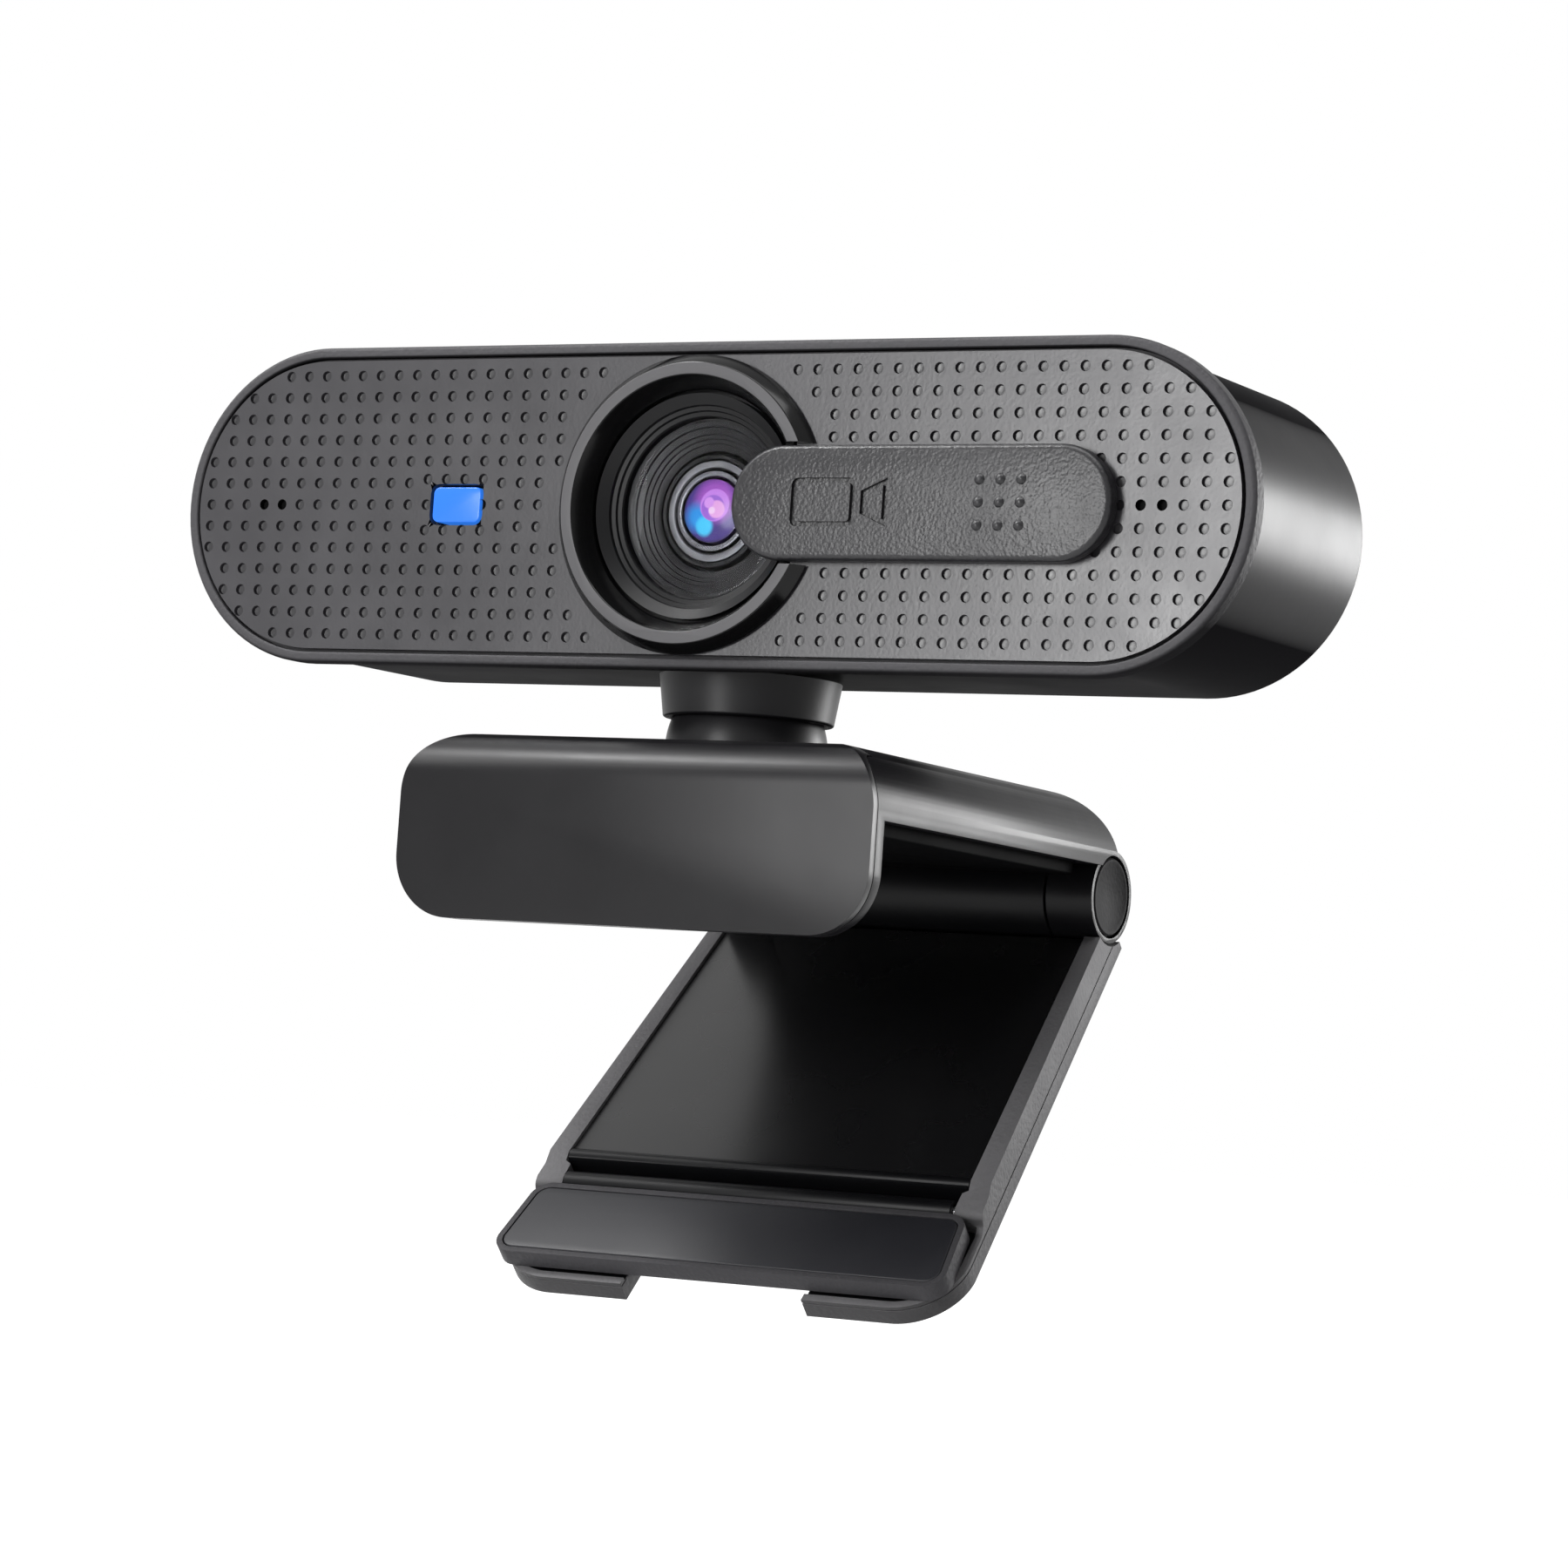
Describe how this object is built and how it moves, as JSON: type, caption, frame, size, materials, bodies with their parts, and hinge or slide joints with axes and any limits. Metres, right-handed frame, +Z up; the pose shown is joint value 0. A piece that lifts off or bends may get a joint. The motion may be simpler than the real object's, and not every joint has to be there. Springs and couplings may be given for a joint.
{
  "type": "clip-on webcam",
  "caption": "Webcam with a stadium-shaped head, lens, sliding privacy shutter, pan and tilt neck, and a folding clip that hooks over a screen's top edge.",
  "frame": {"origin": "on the clip's flat underside, straight below the neck's pan axis, where the clip rests on the screen's top edge", "axes": "+Z up; the lens looks along -Y; +X is the right as seen from in front"},
  "size_m": [0.1092, 0.06, 0.0859],
  "materials": {
    "textured_plastic": "fine texture",
    "panel_grey": "satin",
    "satin_black": "satin gloss",
    "bridge_black": "satin",
    "matte_black": "matte",
    "clear_glass": "polished",
    "coated_glass": "coated",
    "steel": "machined",
    "circuit_board": "satin",
    "chip_black": "moulded",
    "white_nylon": "moulded",
    "blue_window": "clear moulded",
    "black_rubber": "matte"
  },
  "bodies": {
    "bridge": {"bridge_shell": "bridge_black", "bridge_front_cap": "bridge_black", "underside_cover": "bridge_black", "cover_screw_front": "steel", "cover_screw_rear": "steel", "hinge_pin": "steel", "hinge_cap_left": "textured_plastic", "hinge_cap_right": "textured_plastic"},
    "swivel": {"neck_dome": "textured_plastic", "swivel_circlip": "steel"},
    "head": {"neck_collar": "textured_plastic", "tilt_washer": "steel", "tilt_nut": "steel", "tilt_screw": "steel", "tilt_spring": "steel", "front_bezel": "textured_plastic", "front_panel": "panel_grey", "rear_shell": "satin_black", "bezel_screw_lower_left": "steel", "bezel_screw_lower_right": "steel", "bezel_screw_upper_left": "steel", "bezel_screw_upper_right": "steel", "board_screw_left": "steel", "board_screw_right": "steel", "lens_ring": "satin_black", "lens_baffle": "matte_black", "cover_glass": "clear_glass", "lens_barrel": "matte_black", "lens_retaining_ring": "matte_black", "lens_seat_ring": "steel", "front_element": "coated_glass", "rear_element": "coated_glass", "main_board": "circuit_board", "lens_holder": "matte_black", "infrared_filter": "clear_glass", "image_sensor": "chip_black", "status_led": "blue_window", "processor_chip": "chip_black", "cable_socket": "white_nylon", "led_window": "blue_window", "microphone_left": "steel", "microphone_right": "steel", "microphone_gasket_left": "black_rubber", "microphone_gasket_right": "black_rubber", "cable_inlet": "black_rubber"},
    "shutter": {"privacy_shutter": "textured_plastic", "shutter_catch": "white_nylon"},
    "leg": {"leg_shell": "textured_plastic", "leg_cover": "satin_black", "friction_bush_left": "white_nylon", "friction_bush_right": "white_nylon", "flap_pin": "steel"},
    "flap": {"foot_flap": "textured_plastic", "flap_pad": "black_rubber"}
  },
  "joints": [
    {"name": "neck_pan", "type": "hinge", "parent": "bridge", "child": "swivel", "pos_m": [0, 0, 0.0082], "axis": [0, 0, 1], "continuous": true},
    {"name": "neck_tilt", "type": "hinge", "parent": "swivel", "child": "head", "pos_m": [0, 0, 0.0082], "axis": [1, 0, 0], "range_deg": [-15, 15]},
    {"name": "shutter_slide", "type": "slide", "parent": "head", "child": "shutter", "axis": [-1, 0, 0], "range_m": [0, 0.01]},
    {"name": "leg_fold", "type": "hinge", "parent": "bridge", "child": "leg", "pos_m": [0, 0.0358, -0.00175], "axis": [1, 0, 0], "range_deg": [-44, 76]},
    {"name": "flap_fold", "type": "hinge", "parent": "leg", "child": "flap", "pos_m": [0, 0.00787, -0.03213], "axis": [-1, 0, 0], "range_deg": [0, 95]}
  ]
}
